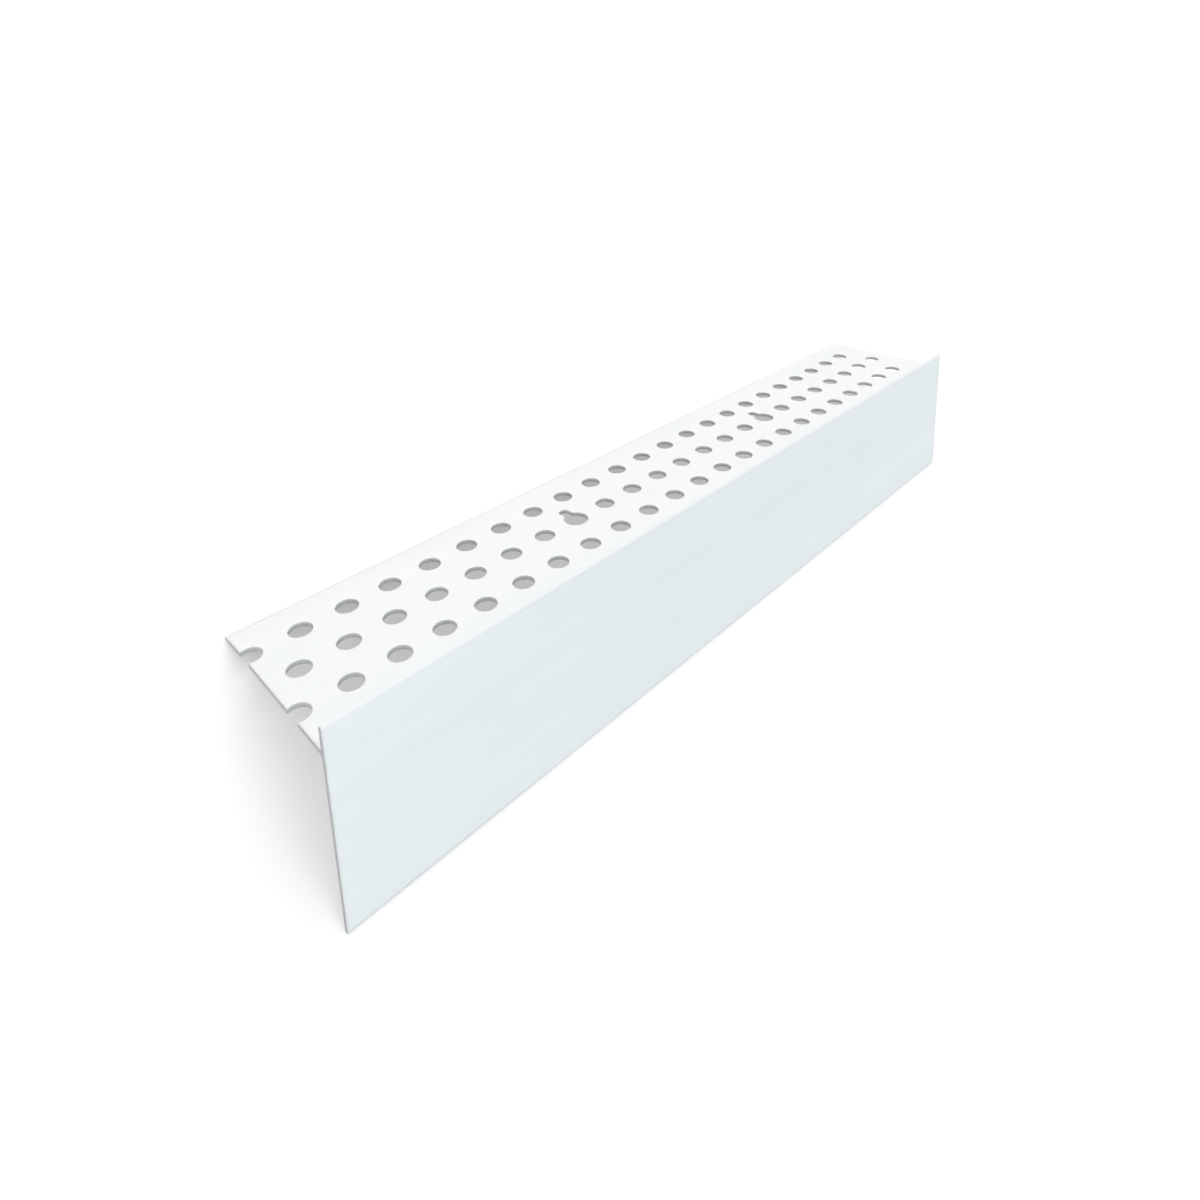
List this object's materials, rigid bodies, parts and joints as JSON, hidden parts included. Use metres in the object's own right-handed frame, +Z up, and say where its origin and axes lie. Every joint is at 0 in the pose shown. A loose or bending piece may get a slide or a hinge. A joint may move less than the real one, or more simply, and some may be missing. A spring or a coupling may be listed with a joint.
{
  "type": "corner bead",
  "caption": "White plastic corner bead for drywall: a smooth face leg and a perforated flange at right angles, with a low lip along the corner.",
  "frame": {"origin": "on the floor below the middle of the bead's bounding box", "axes": "+X along the bead from the end that cuts holes open, +Y from the face leg to the flange, +Z up"},
  "size_m": [0.176, 0.0419, 0.0241],
  "materials": {
    "white_pvc": "satin"
  },
  "bodies": {
    "root": {"corner_bead": "white_pvc"}
  },
  "joints": []
}
